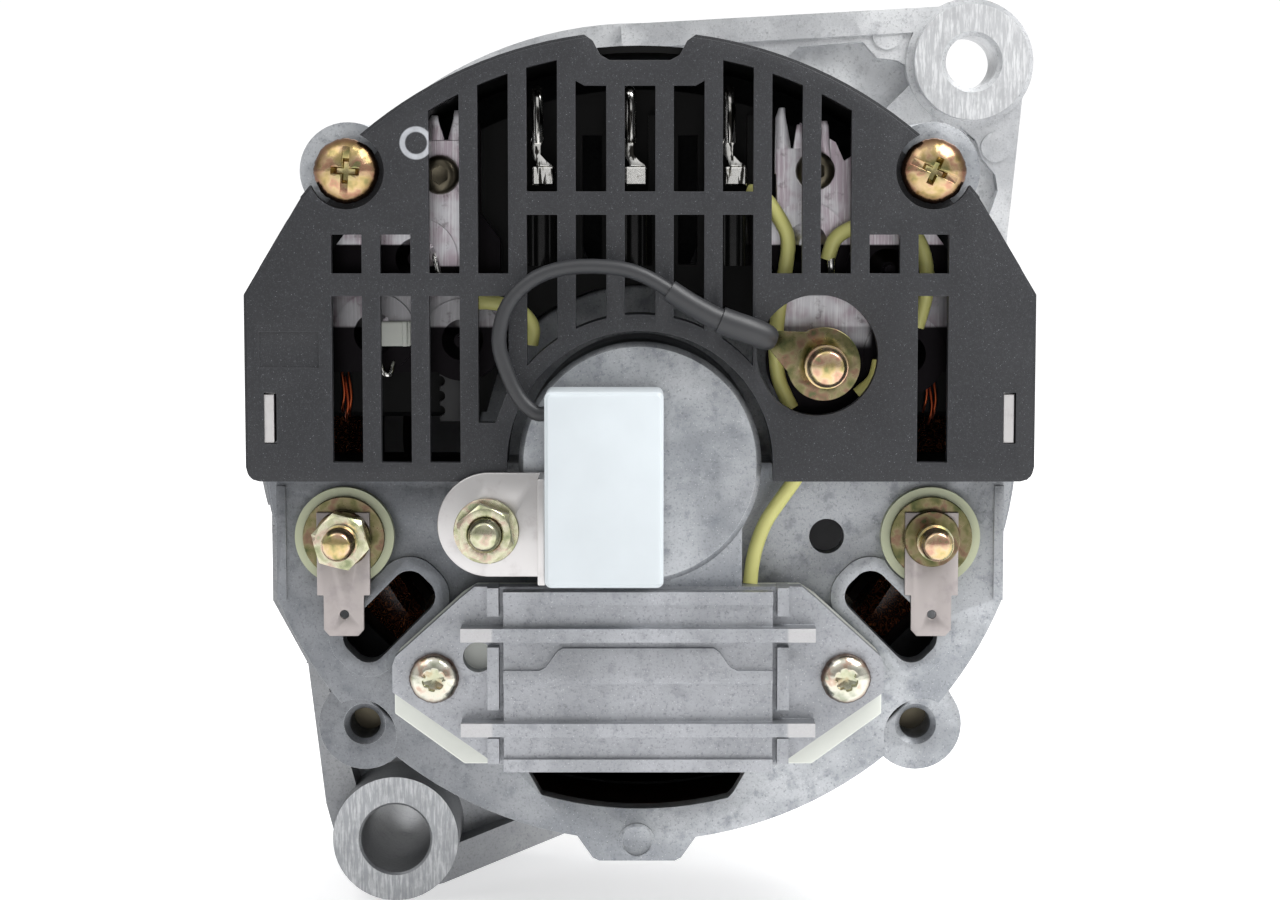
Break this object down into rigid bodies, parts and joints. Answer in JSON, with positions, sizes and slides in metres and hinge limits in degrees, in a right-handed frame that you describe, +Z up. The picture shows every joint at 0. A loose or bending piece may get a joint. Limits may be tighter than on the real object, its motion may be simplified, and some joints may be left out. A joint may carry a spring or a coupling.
{
  "type": "alternator",
  "caption": "Belt-driven claw-pole alternator with a slotted rear cover, a bolted regulator, a pivot lug, an adjusting ear, a cooling fan and a V-belt pulley.",
  "frame": {"origin": "on the shaft axis, in the middle plane of the pulley's belt groove", "axes": "+Y along the shaft from the slip-ring end to the pulley, +Z up and +X right as seen from the slip-ring end"},
  "size_m": [0.1431, 0.1829, 0.1589],
  "materials": {
    "cast_aluminium_grey": "satin",
    "cast_aluminium_light": "satin",
    "lamination_steel": "satin",
    "copper_wire": "gloss",
    "cover_charcoal": "matte",
    "zinc_yellow": "satin",
    "zinc_pale": "satin",
    "tinned_sheet": "satin",
    "rectifier_aluminium": "satin",
    "diode_body": "satin",
    "black_plastic": "matte",
    "black_gloss": "gloss",
    "dark_screw": "satin",
    "nylon_white": "matte",
    "nylon_green_white": "matte",
    "capacitor_white": "satin",
    "lead_rubber": "matte",
    "lead_yellow": "matte",
    "heatsink_aluminium": "satin",
    "bearing_steel": "satin",
    "rotor_steel": "satin",
    "slip_ring_copper": "satin",
    "brown_moulding": "matte",
    "pulley_zinc": "satin",
    "carbon_brush": "matte"
  },
  "bodies": {
    "housing": {"rear_bracket": "cast_aluminium_grey", "front_bracket": "cast_aluminium_light", "stator_core": "lamination_steel", "stator_winding": "copper_wire", "through_bolts": "zinc_yellow", "rear_cover": "cover_charcoal", "cover_screws": "zinc_yellow", "rectifier_plate_negative": "rectifier_aluminium", "rectifier_plate_positive": "rectifier_aluminium", "power_diodes": "diode_body", "terminal_strip": "black_plastic", "phase_terminals": "tinned_sheet", "exciter_diodes": "black_gloss", "rectifier_screws": "dark_screw", "output_stud": "zinc_yellow", "output_insulator": "nylon_white", "output_nut": "zinc_yellow", "terminal_studs": "zinc_yellow", "terminal_insulators": "nylon_green_white", "terminal_washers": "zinc_pale", "left_blade": "tinned_sheet", "right_blade": "tinned_sheet", "terminal_nuts": "zinc_yellow", "capacitor_case": "capacitor_white", "capacitor_bracket": "tinned_sheet", "capacitor_stud": "zinc_yellow", "capacitor_nut": "zinc_pale", "capacitor_lead": "lead_rubber", "lead_sleeve": "lead_rubber", "lead_ring": "zinc_pale", "regulator_heatsink": "heatsink_aluminium", "regulator_base": "nylon_white", "regulator_screws": "zinc_pale", "brush_holder": "black_plastic", "yellow_leads": "lead_yellow", "rear_bearing_outer": "bearing_steel", "front_bearing_outer": "bearing_steel", "bearing_retainer": "bearing_steel", "retainer_screws": "zinc_yellow", "inner_brush_spring": "bearing_steel", "outer_brush_spring": "bearing_steel"},
    "rotor": {"shaft": "bearing_steel", "rear_claw_pole": "rotor_steel", "front_claw_pole": "rotor_steel", "field_coil": "copper_wire", "slip_rings": "slip_ring_copper", "slip_ring_hub": "brown_moulding", "fan": "pulley_zinc", "spacer_ring": "bearing_steel", "pulley_rear_half": "pulley_zinc", "pulley_front_half": "pulley_zinc", "shaft_key": "bearing_steel", "shaft_nut": "bearing_steel", "rear_bearing_inner": "bearing_steel", "front_bearing_inner": "bearing_steel"},
    "rear_cage": {"rear_bearing_cage": "bearing_steel"},
    "front_cage": {"front_bearing_cage": "bearing_steel"},
    "inner_brush": {"inner_brush": "carbon_brush"},
    "outer_brush": {"outer_brush": "carbon_brush"}
  },
  "joints": [
    {"name": "rotor_spin", "type": "hinge", "parent": "housing", "child": "rotor", "pos_m": [0, 0, 0], "axis": [0, 1, 0], "continuous": true},
    {"name": "rear_cage_orbit", "type": "hinge", "parent": "housing", "child": "rear_cage", "pos_m": [0, 0, 0], "axis": [0, 1, 0], "continuous": true},
    {"name": "front_cage_orbit", "type": "hinge", "parent": "housing", "child": "front_cage", "pos_m": [0, 0, 0], "axis": [0, 1, 0], "continuous": true},
    {"name": "inner_brush_slide", "type": "slide", "parent": "housing", "child": "inner_brush", "axis": [0, 0, -1], "range_m": [0, 0.004], "stiffness_N_per_m": 300, "springref_m": -0.012, "deforming": ["inner_brush_spring"]},
    {"name": "outer_brush_slide", "type": "slide", "parent": "housing", "child": "outer_brush", "axis": [0, 0, -1], "range_m": [0, 0.004], "stiffness_N_per_m": 300, "springref_m": -0.012, "deforming": ["outer_brush_spring"]}
  ],
  "couplings": [
    {"joint": "rear_cage_orbit", "follows": "rotor_spin", "ratio": 0.36477},
    {"joint": "front_cage_orbit", "follows": "rotor_spin", "ratio": 0.36359}
  ]
}
